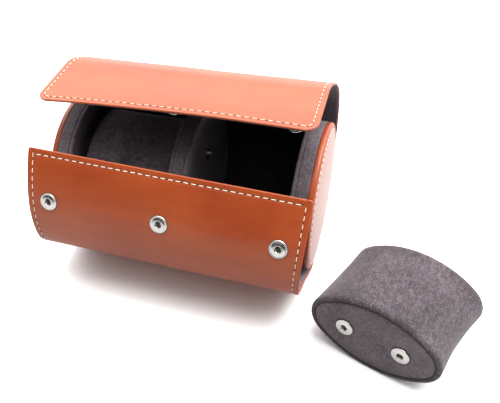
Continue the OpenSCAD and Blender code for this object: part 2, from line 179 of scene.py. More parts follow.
# Every stretch of the visible wrap crosses one hinge line between two bodies. CUTS are the places where one
# stretch ends and the next begins.
Stretch = namedtuple("Stretch", "name start end before after hinge")
NAMES = ["panel", "front_fold", "foot", "back_low", "back_high", "crease", "lid"]
CUTS = [0, (S_PANEL + S_FRONT) / 2, (S_FRONT + S_FOOT) / 2, S_HUG, (S_BACK + S_BEND) / 2,
        (S_BEND + S_CREASE) / 2, (S_CREASE + S_LID) / 2, TOTAL]
BODIES = ["front_panel", "fold_upper", "fold_lower", "case", "back_lower", "back_upper", "lid_rear",
          "lid_front"]
BENDS = [S_PANEL, S_FRONT, S_FOOT, S_BACK, S_BEND, S_CREASE, S_LID]
STRETCHES = [Stretch(*row) for row in zip(NAMES, CUTS, CUTS[1:], BODIES, BODIES[1:], BENDS)]
REACH = 7.0             # half length over which the leather bends at a hinge line


def bend_over(obj, stretch):
    """Bakes a piece's placement into its mesh; the ends of its bend are found but not used."""
    p0, p1 = on_line(stretch.hinge - REACH)[0], on_line(stretch.hinge + REACH)[0]
    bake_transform(obj)


def smooth01(t):
    """Smooth step from 0 to 1."""
    t = min(max(t, 0.0), 1.0)
    return t * t * (3 - 2 * t)


def half_width(s, inset):
    """Half the wrap's width at s: the lid's front corners are rounded, the panel's nearly square."""
    half = HALF - inset
    for gap, radius in ((TOTAL - s, CORNER_R), (s, PANEL_CORNER_R)):
        r = max(radius - inset, 0.2)
        d = gap - inset
        if d < r:
            half = HALF - inset - r + math.sqrt(max(r * r - (r - max(d, 0)) ** 2, 0))
    return half


WAVE, RIPPLE, SINK = 0.35, 0.12, 0.1    # broad waves, small ripples and the most that they dip inwards
LID_CROWN = 1.1                         # how far the middle of the lid's front edge stands proud


def swell(x, s):
    """How far the hand-made leather stands off its ideal surface."""
    uneven = noise.noise(Vector((x * 0.022, s * 0.03, 3.1))) * WAVE
    uneven += noise.noise(Vector((x * 0.06, s * 0.07, 9.4))) * RIPPLE
    crown = smooth01((s - S_CREASE) / (TOTAL - S_CREASE)) * LID_CROWN
    return max(uneven, -SINK) + crown * (1 - 2 * (x / HALF) ** 2)


# The opened wrap hangs a little askew: (s, shift of its middle, what its right side is shifted beyond that).
STRAIGHT = (0, 0, 0)
ASKEW = [(0, (1.48, 1.58, 0.27), (1.33, -0.83, -1.57)),
         (S_PANEL, (0.88, -1.92, -1.32), (-0.40, -2.33, 0.49)),
         (S_FRONT, STRAIGHT, STRAIGHT),
         (S_BACK, STRAIGHT, STRAIGHT),
         (S_BEND, (0.21, -0.41, -0.90), (-0.24, 0.88, 2.55)),
         (S_CREASE, (-1.84, -0.76, -1.07), (-0.40, 1.81, 0.43)),
         (TOTAL, (-1.07, 1.22, 2.26), (-0.48, 1.54, 1.73))]


def between(a, b, t):
    """The place between two triples of numbers."""
    return [p + (q - p) * t for p, q in zip(a, b)]


def askew(x, s):
    """How far a point of the wrap is shifted from its straight place."""
    for (s0, middle0, side0), (s1, middle1, side1) in zip(ASKEW, ASKEW[1:]):
        if s <= s1 or s1 == TOTAL:
            t = smooth01((s - s0) / (s1 - s0))
            shifts = zip(between(middle0, middle1, t), between(side0, side1, t))
            return Vector([middle + side * (x / HALF) for middle, side in shifts])


def surface(x, s, off):
    """A point of the wrap in metres: x across, s along, off outwards from the middle surface."""
    p, n = on_line(s)
    q = p + n * (off + swell(x, s))
    moved = Vector((x, q.x, q.y)) + askew(x, s)
    return Vector((moved.x, moved.y, max(moved.z, TABLE_GAP))) * MM


# ---------------------------------------------------------------- mesh helpers


def make(name, verts, faces, material, merge=False):
    """A smooth piece from points in metres; merge joins the points that lie on one another."""
    mesh = bpy.data.meshes.new(name)
    mesh.from_pydata([tuple(v) for v in verts], [], faces)
    mesh.validate()
    bm = bmesh.new()
    bm.from_mesh(mesh)
    if merge:
        bmesh.ops.remove_doubles(bm, verts=bm.verts, dist=1e-7)
    bmesh.ops.recalc_face_normals(bm, faces=bm.faces)
    bm.to_mesh(mesh)
    bm.free()
    mesh.materials.append(material)
    for p in mesh.polygons:
        p.use_smooth = True
    obj = bpy.data.objects.new(name, mesh)
    bpy.context.scene.collection.objects.link(obj)
    return obj


def tube_faces(rows, size, closed=False):
    """Quads between rings of the same size that follow each other; closed joins the last to the first."""
    faces = []
    for i in range(rows if closed else rows - 1):
        a, b = i * size, ((i + 1) % rows) * size
        faces += [(a + k, a + (k + 1) % size, b + (k + 1) % size, b + k) for k in range(size)]
    return faces


def lathe(name, profile, place, material, count):
    """Turns a profile of (radius, height) round +Z, then puts it in place (a 4x4 in metres)."""
    turns = [2 * math.pi * k / count for k in range(count)]
    verts = [place @ (Vector((r * math.cos(a), r * math.sin(a), h)) * MM) for a in turns for r, h in profile]
    faces = []
    n = len(profile)
    for k in range(count):
        a, b = k * n, ((k + 1) % count) * n
        faces += [(a + i, b + i, b + i + 1, a + i + 1) for i in range(n - 1)]
    return make(name, verts, faces, material, merge=True)


def arc(cx, cy, r, a0, a1, n):
    """Points of an arc as (radius, height) pairs."""
    return [(cx + r * math.cos(math.radians(a0 + (a1 - a0) * i / n)),
             cy + r * math.sin(math.radians(a0 + (a1 - a0) * i / n))) for i in range(n + 1)]


def facing(point, normal, along):
    """A 4x4 that puts +Z on a normal and +Y along a direction, at a point in metres."""
    z = Vector(normal).normalized()
    x = Vector(along).cross(z).normalized()
    y = z.cross(x)
    return Matrix.Translation(point) @ Matrix((x, y, z)).transposed().to_4x4()


def thread(verts, faces, path, radius, sides=7):
    """Adds a length of thread with rounded ends along a list of points, all in metres."""
    base = len(verts)
    n = len(path)
    taper = {0: 0.45, 1: 0.85}
    for i, p in enumerate(path):
        d = (path[min(i + 1, n - 1)] - path[max(i - 1, 0)]).normalized()
        u = d.orthogonal().normalized()
        v = d.cross(u)
        r = radius * taper.get(min(i, n - 1 - i), 1.0)
        verts += [p + (u * math.cos(2 * math.pi * k / sides) + v * math.sin(2 * math.pi * k / sides)) * r
                  for k in range(sides)]
    for i in range(n - 1):
        a, b = base + i * sides, base + (i + 1) * sides
        faces += [(a + k, a + (k + 1) % sides, b + (k + 1) % sides, b + k) for k in range(sides)]
    faces += [tuple(range(base, base + sides)), tuple(range(base + (n - 1) * sides, base + n * sides))]


STITCH_PITCH, STITCH_LENGTH, STITCH_SUNK, THREAD_R = 4.5, 3.1, 0.2, 0.23
# Each gap between stitches gets a dark sunk line: the needle holes, with painted shade over the gap round
# them.
HOLE_LAP, HOLE_SUNK, HOLE_R = 0.5, 0.13, 0.2      # needle holes, which reach a little under the stitches


def stitch_path(length, place_at):
    """One stitch that dives into the leather at both ends; place_at(along, rise) gives its points."""
    path = []
    for k in range(9):
        t = k / 8 - 0.5
        path.append(place_at(t * length, THREAD_R * (1.1 * (1 - (2 * t) ** 6) - 0.55)))
    return path


# ---------------------------------------------------------------- materials


class Graph:
    """A short way to write a node tree."""

    def __init__(self, tree):
        self.tree = tree

    def add(self, kind, inputs=None, **settings):
        node = self.tree.nodes.new(kind)
        for key, value in settings.items():
            setattr(node, key, value)
        for key, value in (inputs or {}).items():
            self.plug(node.inputs[key], value)
        return node

    def plug(self, socket, value):
        """Links a socket to another one, or sets its constant."""
        if isinstance(value, bpy.types.NodeSocket):
            self.tree.links.new(value, socket)
        else:
            socket.default_value = value


class Material(Graph):
    """A material's nodes; scales are per metre and bump distances in metres."""

    def __init__(self, name):
        self.mat = bpy.data.materials.new(name)
        self.mat.use_nodes = True
        super().__init__(self.mat.node_tree)
        self.shader = self.tree.nodes["Principled BSDF"]
        self.coords = self.add("ShaderNodeTexCoord").outputs["Object"]

    def set(self, **values):
        for key, value in values.items():
            self.plug(self.shader.inputs[key.replace("_", " ")], value)

    def noise(self, scale, detail=3.0, rough=0.5, vector=None, distortion=0.0):
        inputs = {"Vector": vector or self.coords, "Scale": scale, "Detail": detail, "Roughness": rough,
                  "Distortion": distortion}
        return self.add("ShaderNodeTexNoise", inputs).outputs["Fac"]

    def cells(self, scale, feature="F1"):
        return self.add("ShaderNodeTexVoronoi", {"Vector": self.coords, "Scale": scale},
                        feature=feature).outputs["Distance"]

    def ramp(self, value, stops):
        node = self.add("ShaderNodeValToRGB", {"Fac": value})
        elements = node.color_ramp.elements
        while len(elements) < len(stops):
            elements.new(0.5)
        for element, (at, colour) in zip(elements, stops):
            element.position = at
            element.color = (*colour, 1)
        return node.outputs["Color"]

    def math(self, kind, a, b):
        return self.add("ShaderNodeMath", {0: a, 1: b}, operation=kind).outputs[0]

    def weigh(self, *parts):
        """The sum of (value, share) pairs."""
        terms = [self.math("MULTIPLY", value, share) for value, share in parts]
        total = terms.pop()
        while terms:
            total = self.math("ADD", terms.pop(), total)
        return total

    def spread(self, value, low, high):
        node = self.add("ShaderNodeMapRange", {"Value": value, "To Min": low, "To Max": high})
        return node.outputs["Result"]

    def mix(self, factor, a, b):
        node = self.add("ShaderNodeMix", data_type="RGBA")
        self.plug(node.inputs[0], factor)
        for index, colour in ((6, a), (7, b)):          # the node's two colour sockets
            linked = isinstance(colour, bpy.types.NodeSocket)
            self.plug(node.inputs[index], colour if linked else (*colour, 1))
        return node.outputs[2]

    def stretch(self, x, y, z):
        return self.add("ShaderNodeMapping", {"Vector": self.coords, "Scale": (x, y, z)}).outputs["Vector"]

    def bump(self, height, distance, strength, below=None):
        inputs = {"Height": height, "Distance": distance, "Strength": strength}
        if below is not None:
            inputs["Normal"] = below
        return self.add("ShaderNodeBump", inputs).outputs["Normal"]


def leather(name, dark, base, light, rough=0.36, coat=0.05):
    """Finished leather: cloudy tone with streaks along the barrel, dark pores and a grain of three sizes."""
    g = Material(name)
    cloud = g.noise(22, 4, 0.55)
    streak = g.noise(1.0, 3, 0.6, g.stretch(30, 150, 150))
    fine = g.noise(900, 2, 0.6)
    colour = g.ramp(g.weigh((cloud, 0.6), (streak, 0.4)), [(0.25, dark), (0.52, base), (0.8, light)])
    pores = g.math("LESS_THAN", g.cells(1500), 0.22)
    colour = g.mix(g.spread(pores, 0, 0.35), colour, dark)
    colour = g.mix(g.spread(fine, 0.0, 0.12), colour, dark)
    grain = g.bump(g.cells(1150, "SMOOTH_F1"), 0.00012, 0.35)
    grain = g.bump(g.noise(420, 4, 0.6), 0.00018, 0.4, grain)
    grain = g.bump(g.noise(34, 2, 0.5), 0.0009, 0.25, grain)
    g.set(Base_Color=colour, Normal=grain,
          Roughness=g.spread(g.weigh((cloud, 0.5), (fine, 0.5)), rough - 0.06, rough + 0.1),
          Coat_Weight=coat, Coat_Roughness=0.3, Specular_IOR_Level=0.55, Specular_Tint=(1.0, 0.90, 0.77, 1))
    return g.mat


# Painted shade: between these two distances from the barrel's axis the lining darkens to its inner colour.
PAINTED_SHADE_FROM, PAINTED_SHADE_TO = 0.047, 0.036       # distances from the barrel's axis in metres


def suede(name, dark, base, light, lay=(1.0, 1.0, 1.0), contrast=1.0, inner=None):
    """Brushed suede; lay stretches its nap; inner is painted shade, darker deep inside the barrel."""
    g = Material(name)
    nap = g.noise(1.0, 4, 0.65, g.stretch(*(420 * k for k in lay)), 0.6)
    fibre = g.noise(1.0, 3, 0.75, g.stretch(*(1500 * k for k in lay)))
    cloud = g.noise(30, 3, 0.55, distortion=0.4)
    tone = g.weigh((nap, 0.3), (cloud, 0.25), (fibre, 0.45))
    colour = g.ramp(tone, [(0.5 - 0.11 / contrast, dark), (0.5, base), (0.5 + 0.11 / contrast, light)])
    if inner:
        # Painted shade: the colour darkens towards inner as the point nears the barrel's axis.
        off_axis = g.add("ShaderNodeVectorMath", {0: g.coords, 1: (0, 0, AXIS_Z * MM)}, operation="SUBTRACT")
        flat = g.add("ShaderNodeVectorMath", {0: off_axis.outputs[0], 1: (0, 1, 1)}, operation="MULTIPLY")
        radius = g.add("ShaderNodeVectorMath", {0: flat.outputs[0]}, operation="LENGTH").outputs["Value"]
        depth = g.add("ShaderNodeMapRange", {"Value": radius, "From Min": PAINTED_SHADE_FROM, "From Max": PAINTED_SHADE_TO})
        colour = g.mix(depth.outputs["Result"], colour, inner)
    bumps = g.bump(fibre, 0.0004, 0.6)
    bumps = g.bump(nap, 0.0006, 0.35, bumps)
    g.set(Base_Color=colour, Normal=bumps, Roughness=0.95, Sheen_Weight=0.22, Sheen_Roughness=0.45,
          Sheen_Tint=(0.85, 0.8, 0.85, 1), Specular_IOR_Level=0.15)
    return g.mat


def metal(name, colour, rough):
    """Plated metal with faint smears."""
    g = Material(name)
    smear = g.noise(300, 3, 0.6)
    g.set(Base_Color=g.mix(g.spread(smear, 0, 0.2), colour, tuple(0.8 * c for c in colour)), Metallic=1.0,
          Roughness=g.spread(smear, rough, rough + 0.12), Normal=g.bump(g.noise(900, 2), 0.00003, 0.25))
    return g.mat


def plain(name, colour, rough, scale, bump=0.0002, spread=0.15, sheen=0.0):
    """One uneven colour with a little relief."""
    g = Material(name)
    n = g.noise(scale, 4, 0.6)
    g.set(Base_Color=g.mix(g.spread(n, 0, 1), tuple(c * (1 - spread) for c in colour),
                           tuple(min(c * (1 + spread), 1) for c in colour)),
          Roughness=rough, Normal=g.bump(n, bump, 0.6), Sheen_Weight=sheen)
    return g.mat


TAN = leather("tan_leather", (0.215, 0.026, 0.0046), (0.29, 0.0455, 0.0080), (0.35, 0.066, 0.0140))
DISC = leather("disc_leather", (0.22, 0.031, 0.008), (0.28, 0.050, 0.014), (0.34, 0.070, 0.022), 0.28, 0.5)
# Painted shade in dark brown: the needle holes between stitches and the dents round the panel's snaps.
SHADE_BROWN = plain("needle_hole_shade", (0.075, 0.022, 0.012), 0.9, 900)
# The lining carries painted shade: it darkens to its inner colour deep inside the barrel.
LINING = suede("grey_suede_lining", (0.044, 0.036, 0.041), (0.098, 0.080, 0.092), (0.175, 0.147, 0.166),
               inner=(0.026, 0.021, 0.024))
COVER = suede("grey_suede_pillow", (0.028, 0.0225, 0.026), (0.060, 0.049, 0.055), (0.114, 0.094, 0.106),
              lay=(1.0, 0.6, 1.6), contrast=1.3)
# Painted light: the cover's suede made about twice as light, for the end faces that get less light.
FACE = suede("grey_suede_face", (0.066, 0.054, 0.061), (0.124, 0.102, 0.113), (0.190, 0.158, 0.174))
# Painted shade: a darker copy of the lining suede, for the troughs deep inside the barrel where shade falls.
DEEP = suede("shaded_suede", (0.014, 0.012, 0.013), (0.028, 0.023, 0.026), (0.046, 0.038, 0.043))
# Painted shade: near-black suede for the shadow in the pillows' seams and round their snaps.
SEAM = plain("seam_shadow_suede", (0.022, 0.018, 0.021), 0.95, 900)
THREAD = plain("cream_thread", (0.80, 0.69, 0.56), 0.7, 3500, bump=0.0001, spread=0.1, sheen=0.3)
NICKEL = metal("nickel", (0.62, 0.60, 0.57), 0.2)
# Painted shade: a near-black colour for the bottom of each socket's hole.
SOCKET_SHADE = plain("socket_shade", (0.015, 0.013, 0.012), 0.7, 500)
BOARD = plain("fibre_board", (0.30, 0.27, 0.24), 0.85, 700)
FOAM = plain("foam", (0.72, 0.68, 0.60), 0.95, 900, bump=0.0004)

# ---------------------------------------------------------------- the wrap

LEATHER_BAND = (THICK / 2 - LEATHER, THICK / 2)                 # a layer's inner and outer side
LINING_BAND = (0.45 - THICK / 2, THICK / 2 - LEATHER)
LINING_INSET = 0.9                                              # the lining stops this far from the edge
GROOVE_DEPTH, GROOVE_HALF = 0.28, 0.55
REPLACED = {
    "panel": (["panel_leather"], ["panel_lining", "panel_board"]),
    "front_fold": (["fold_upper_leather", "fold_lower_leather"], ["fold_upper_lining", "fold_lower_lining"]),
    "foot": (["base_leather"], ["base_lining", "base_board"]),
    "back_low": (["back_lower_leather"], ["back_lower_lining"]),
    "back_high": (["back_upper_leather"], ["back_upper_lining"]),
    "crease": (["lid_rear_leather"], ["lid_rear_lining", "lid_rear_board"]),
    "lid": (["lid_front_leather"], ["lid_front_lining", "lid_front_board"]),
}

# Distances from an edge at which the mesh is fine: over the rounded cut, and on to the far side of the seam.
CUT_STEPS = [0, 0.1, 0.25, 0.45]
SEAM_STEPS = [0.75, 1.2, 1.9, 2.6, 3.0, 3.3, 3.5, 3.7, 4.0, 4.5, 5.4]
CUT_END = 0.5
SIDE_ZONE = 8.0         # columns nearer to the side edge than this keep their distance from it
TINY = 1e-6


def columns(step=2.4):
    """Distances from the side edge at which a stretch has a column of vertices, up to the middle."""
    near = [0, 0.16, 0.4] + SEAM_STEPS + [6.8]
    rest = HALF - near[-1]
    count = round(rest / step)
    return near + [near[-1] + rest * (i + 1) / count for i in range(count)]


def stations(stretch, inset, step=1.5):
    """Places s at which a layer has a row of vertices, closer at the wrap's two ends."""
    at_start, at_end = stretch.start <= 0, stretch.end >= TOTAL
    fine = CUT_STEPS + SEAM_STEPS
    low, high, found = stretch.start, stretch.end, set()
    if at_start:
        found |= set(fine)
        low = fine[-1]
    if at_end:
        found |= {TOTAL - f for f in fine + [6.6, CORNER_R]}
        high = TOTAL - CORNER_R
    count = max(2, round((high - low) / step))
    found |= {low + (high - low) * i / count for i in range(count + 1)}
    places = [s for s in sorted(found) if inset - TINY <= s <= TOTAL - inset + TINY]
    if at_start and inset > 0:
        places = [inset + f for f in CUT_STEPS] + [s for s in places if s > inset + CUT_END]
    if at_end and inset > 0:
        places = [s for s in places if s < TOTAL - inset - CUT_END]
        places += [TOTAL - inset - f for f in CUT_STEPS[::-1]]
    return places


def rounded(half, to_edge, least=0.0):
    """Half the thickness of a layer near its rounded cut edge."""
    return half if to_edge >= half else math.sqrt(max(half * half - (half - to_edge) ** 2, least))


def seam_groove(d, s):
    """How deep, from 0 to 1, the seam presses the leather in at d from the side edge and s along."""
    gaps = [d] if d <= EDGE_STITCH else [d, s, TOTAL - s]
    return max(math.exp(-((gap - EDGE_STITCH) / GROOVE_HALF) ** 2) for gap in gaps)


def ribbon(name, stretch, band, inset, material, groove=0.0):
    """One layer of the wrap over a stretch: a closed strip with rounded cut edges."""
    mid, half = (band[0] + band[1]) / 2, (band[1] - band[0]) / 2
    places = stations(stretch, inset)
    verts = []
    for s in places:
        thin = rounded(half, min(s, TOTAL - s) - inset, 0.0004)
        w = half_width(s, inset)
        outer, inner = [], []
        for d in columns():
            x = max(w * (1 - d / HALF), 0) if d > SIDE_ZONE else w - d
            lift = rounded(thin, d)
            outer.append((x, mid + lift - groove * seam_groove(d, s)))
            inner.append((x, mid - lift))
        loop = outer + [(-x, off) for x, off in reversed(outer[:-1])]
        loop += [(-x, off) for x, off in inner[1:]] + inner[-2:0:-1]
        verts += [surface(x, s, off) for x, off in loop]
    size = len(verts) // len(places)
    faces = tube_faces(len(places), size)
    if stretch.start <= 0:
        faces.append(tuple(range(size)))
    if stretch.end >= TOTAL:
        faces.append(tuple(range(len(verts) - size, len(verts))))
    obj = make(name, verts, faces, material)
    bend_over(obj, stretch)
    return obj


def seam_line(spans=80):
    """The seam as (x, s) points: up the right side, across the lid, down the left and across the panel."""
    d = EDGE_STITCH
    r = CORNER_R - d
    half = HALF - d
    side = [(half, d + i) for i in range(int(TOTAL - 2 * d - r) + 1)]
    corner = [(half - r + r * math.cos(math.radians(a)), TOTAL - d - r + r * math.sin(math.radians(a)))
              for a in range(0, 91, 6)]
    top = [(half - r - (half - r) * i / spans, TOTAL - d) for i in range(1, spans + 1)]
    right = side + corner + top
    left = [(-x, s) for x, s in reversed(right[:-1])]
    return right + left + [(half * i / spans - half, d) for i in range(1, 2 * spans)]


def spaced(points, pitch):
    """Positions every pitch along a line of (x, s) points, with the direction there."""
    out, carry = [], pitch / 2
    for a, b in zip(points, points[1:]):
        dx, ds = b[0] - a[0], b[1] - a[1]
        span = math.hypot(dx, ds)
        if span == 0:
            continue
        while carry <= span:
            out.append((a[0] + dx * carry / span, a[1] + ds * carry / span, dx / span, ds / span))
            carry += pitch
        carry -= span
    return out


def off_seam(place, slant, t, off):
    """A point in metres at t along a stitch from its middle; slant turns it a little off the seam."""
    x, s, dx, ds = place
    return surface(x + dx * t - ds * t * slant, s + ds * t + dx * t * slant, off)


def stitches(stretch):
    """The seam's stitches on one stretch of the wrap, and the needle holes between them in painted shade."""
    verts, faces, dark, dark_faces = [], [], [], []
    gap = STITCH_PITCH - STITCH_LENGTH + HOLE_LAP
    for place in spaced(seam_line(), STITCH_PITCH):
        if not stretch.start <= place[1] < stretch.end:
            continue
        slant = random.uniform(-0.03, 0.03)
        length = STITCH_LENGTH * random.uniform(0.94, 1.05)
        path = stitch_path(length, lambda t, rise: off_seam(place, slant, t, THICK / 2 - STITCH_SUNK + rise))
        thread(verts, faces, path, THREAD_R * MM)
        steps = [STITCH_PITCH / 2 + gap * k / 8 for k in range(-4, 5, 2)]
        path = [off_seam(place, 0, t, THICK / 2 - HOLE_SUNK) for t in steps]
        thread(dark, dark_faces, path, HOLE_R * MM, 6)
    for obj in (make("stitches_" + stretch.name, verts, faces, THREAD),
                make("needle_hole_shade_" + stretch.name, dark, dark_faces, SHADE_BROWN)):
        bend_over(obj, stretch)


for stretch in STRETCHES:
    leather_nodes, lining_nodes = REPLACED[stretch.name]
    skin = ribbon("wrap_leather_" + stretch.name, stretch, LEATHER_BAND, 0.0, TAN, GROOVE_DEPTH)
    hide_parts(*leather_nodes)
    cloth = ribbon("wrap_lining_" + stretch.name, stretch, LINING_BAND, LINING_INSET, LINING)
    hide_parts(*lining_nodes)
    stitches(stretch)

# ---------------------------------------------------------------- snaps

RING_D, RING_H, HOLE_D, CAVITY_D = 10.7, 0.9, 4.4, 6.0
RING = ([(CAVITY_D / 2 - 0.6, -0.6), (HOLE_D / 2 - 0.25, 0.1), (HOLE_D / 2 - 0.3, 0.55)]
        + arc(HOLE_D / 2 + 0.1, 0.78, 0.34, 200, 70, 7)
        + [(2.75, 1.07), (3.2, 1.04), (3.5, 0.97), (3.85, 0.84), (4.2, 0.73), (4.4, 0.70), (4.7, 0.72)]
        + arc(RING_D / 2 - 0.42, 0.34, 0.42, 80, -20, 7) + [(RING_D / 2 - 0.25, 0.0)])
# The dent round a ring is coloured dark as painted contact shade.
DENT = [(RING_D / 2 - 0.4, 0.12), (RING_D / 2 + 0.05, 0.13), (RING_D / 2 + 0.32, 0.02),
        (RING_D / 2 + 0.3, -0.1), (RING_D / 2 - 0.4, -0.1)]
# The cavity is a near-black disc down the ring's hole, painted shade.
CAVITY = [(0.0, 0.3), (HOLE_D / 2 - 0.1, 0.3), (HOLE_D / 2 - 0.05, 0.6)]
WIRE_X, WIRE_Z, WIRE_HALF, WIRE_BOW, WIRE_R = 1.75, 0.5, 1.35, 0.35, 0.17
STUD = ([(0.0, 1.8)] + arc(0.0, 0.75, 1.6, 60, -8, 8)
        + [(1.28, 0.35), (1.28, 0.1), (4.3, 0.08), (4.5, -0.05), (4.5, -0.3)])
SNAP_INSET = 14.2       # to the side edge
SNAP_X = {"left": SNAP_INSET - HALF, "middle": 0.0, "right": HALF - SNAP_INSET}
SOCKET_ALONG = 27.38    # along the middle arc of the panel's path
SOCKET_SUNK = 0.05      # the ring's foot below the leather
STUD_INSET = 8.5        # to the lid's front edge


def wire_point(place, side, t, turn):
    """A point of a socket's spring wire, t from -1 to 1 along it; turn is in radians."""
    p = Vector((side * (WIRE_X - WIRE_BOW * (1 - t * t)), t * WIRE_HALF, WIRE_Z))
    c, s = math.cos(turn), math.sin(turn)
    return place @ (Vector((p.x * c - p.y * s, p.x * s + p.y * c, p.z)) * MM)


def snap_socket(name, place, body, dent_shade, turn):
    """Raised nickel ring pressed into a dent of painted shade, a cavity painted near black and two spring
    wires.
    """
    ring = lathe(name + "_ring", RING, place, NICKEL, 72)
    dent = lathe(name + "_dent", DENT, place, dent_shade, 72)
    hole = lathe(name + "_cavity", CAVITY, place, SOCKET_SHADE, 48)
    verts, faces = [], []
    for side in (-1, 1):
        path = [wire_point(place, side, k / 8 * 2 - 1, turn) for k in range(9)]
        thread(verts, faces, path, WIRE_R * MM, 10)
    wires = make(name + "_spring", verts, faces, NICKEL)
    for part in (ring, hole, wires, dent):
        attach(part, body)
    return ring, wires


def panel_snap(side, x, s):
    """A socket in the front panel, square to the leather as it lies there; gives its spring wires."""
    along = surface(x, s + 2, 0) - surface(x, s - 2, 0)
    across = surface(x + 2, s, 0) - surface(x - 2, s, 0)
    out = along.cross(across)
    out = -out if out.y > 0 else out
    place = facing(surface(x, s, THICK / 2 - SOCKET_SUNK), out, along)
    ring, wires = snap_socket("panel_snap_" + side, place, "front_panel", SHADE_BROWN, 0.7 if x > 0 else 0.3)
    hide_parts("panel_ring_" + side)
    return wires


def lid_stud(side, x, s):
    """A stud under the lid's front edge."""
    _, n = on_line(s)
    place = facing(surface(x, s, -THICK / 2), (0, -n.x, -n.y), (0, n.y, -n.x))
    stud = lathe("lid_snap_stud_" + side, STUD, place, NICKEL, 48)
    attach(stud, "lid_front")
    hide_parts("lid_stud_" + side)


arc_length, arc_turn = PANEL_PATH[1]
to_socket = [PANEL_PATH[0], (SOCKET_ALONG, arc_turn * SOCKET_ALONG / arc_length)]
s_socket = nearest_run(walk(fold[-1], PANEL_ANGLE, to_socket)[-1])
springs = {side: panel_snap(side, x, s_socket) for side, x in SNAP_X.items()}
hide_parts("panel_springs")
for side, x in SNAP_X.items():
    lid_stud(side, x, TOTAL - STUD_INSET)

# ---------------------------------------------------------------- barrel

CHEEK_OUT, CHEEK_W, CHEEK_SEAM, CHEEK_BORE = 80.4, 10.2, 2.4, 6.0
DIVIDER_W, DIVIDER_SEAM = 11.3, 2.3
RIM_SOFT, RIM_CROWN = 0.9, 0.12         # rounded shoulders and the band's crown
DIP, DIP_HALF = 0.55, 0.45              # the valley of a seam in the suede
SIDES = ((-1, "left"), (1, "right"))


def on_axis(x, side):
    """+Z along the barrel's axis from x, pointing left (-1) or right (+1)."""
    return facing((x * MM, 0, AXIS_Z * MM), (side, 0, 0), (0, 0, 1))


def seam_dip(at):
    """The valley of a seam in a rim profile, as (height, drop) pairs."""
    return [(at - DIP_HALF, 0.0), (at - DIP_HALF * 0.5, DIP * 0.5), (at, DIP),
            (at + DIP_HALF * 0.5, DIP * 0.5), (at + DIP_HALF, 0.0)]


def rim_profile(width, seams, bore):
    """Half-section of a suede-covered rim: flat sides, rounded shoulders and a crowned band with seams."""
    soft, r = RIM_SOFT, BARREL_R - 0.6
    points = [(bore, 0.0), (r - soft - 2.2, 0.0), (r - soft, 0.05)]
    points += arc(r - soft, soft, soft, -85, -10, 6)
    heights = [soft + (width - 2 * soft) * i / 14 for i in range(1, 14)]
    marks = [(h, 0.0) for h in heights if all(abs(h - at) > 0.6 for at in seams)]
    marks += [mark for at in seams for mark in seam_dip(at)]
    for h, drop in sorted(marks):
        crown = RIM_CROWN * (1 - (2 * h / width - 1) ** 2)
        points.append((r - RIM_CROWN + crown - drop, h))
    points += arc(r - soft, width - soft, soft, 10, 85, 6)
    points += [(r - soft - 2.2, width), (bore, width)]
    return points


def cheek(side, label):
    """The padded suede cheek at one end of the barrel."""
    place = on_axis(side * (CHEEK_OUT - CHEEK_W), side)
    body = lathe("cheek_suede_" + label, rim_profile(CHEEK_W, [CHEEK_SEAM], CHEEK_BORE), place, LINING, 160)
    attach(body, "case")
    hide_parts(f"cheek_{label}_suede", f"cheek_{label}_core")


for side, label in SIDES:
    cheek(side, label)

profile = rim_profile(DIVIDER_W, [DIVIDER_SEAM, DIVIDER_W - DIVIDER_SEAM], 0)
divider = lathe("divider_suede", profile, on_axis(-DIVIDER_W / 2, 1), LINING, 160)
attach(divider, "case")
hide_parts("divider_band", "divider_face_left", "divider_face_right", "divider_core")

# End discs: domed leather up to JOIN_R inside a bound rim, stitched at SEAM_R, that turns over the cheek.
DOME, RIM_H, RIM_R, SEAM_R = 2.1, 3.9, 48.15, 44.3
SHOULDER, JOIN_R = 1.9, 43.5
DISC_RADII = [0, 6, 12, 18, 24, 29, 33, 36, 38.5, 40.5, 42, 43, 43.3]
DISC_PITCH, DISC_STITCH = 4.2, 3.0


def disc_height(r):
    """Height of the end disc's face over the cheek."""
    return RIM_H + 0.1 + DOME * (1 - min(r / RIM_R, 1.0) ** 2.4)


def end_disc(place, label):
    """The domed leather disc on one end."""
    section = [(r, disc_height(r)) for r in DISC_RADII]
    section += [(JOIN_R, disc_height(JOIN_R) - 0.12), (JOIN_R + 0.1, RIM_H - 0.8), (30, 0.5)]
    disc = lathe("end_disc_" + label, section, place, DISC, 180)
    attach(disc, "case")
    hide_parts(f"end_{label}_leather", f"end_{label}_pad")


def end_binding(place, label):
    """The bound rim round a disc: a lip at the join, a grooved seam, a round shoulder and the side wall."""
    rim = [(JOIN_R + 0.05, RIM_H - 0.7), (JOIN_R + 0.08, disc_height(JOIN_R) - 0.2),
           (JOIN_R + 0.3, disc_height(JOIN_R) - 0.08)]
    rim += [(SEAM_R + d, disc_height(SEAM_R + d) - 0.3 * math.exp(-(d / 0.45) ** 2))
            for d in (-0.3, 0.0, 0.3, 0.7, 1.2, 1.7)]
    rim += [(RIM_R - SHOULDER + SHOULDER * math.sin(math.radians(t)),
             RIM_H + 0.22 - SHOULDER + SHOULDER * math.cos(math.radians(t))) for t in range(10, 91, 10)]
    rim += [(RIM_R - 0.03, 1.2), (RIM_R - 0.12, 0.35), (RIM_R - 0.5, 0.02), (SEAM_R, 0.02)]
    binding = lathe("end_binding_" + label, rim, place, TAN, 180)
    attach(binding, "case")


def on_seam(place, angle, rise):
    """A point on a disc's seam, rise over its groove; the angle is in radians."""
    height = disc_height(SEAM_R) - 0.18 + rise
    return place @ (Vector((SEAM_R * math.cos(angle), SEAM_R * math.sin(angle), height)) * MM)


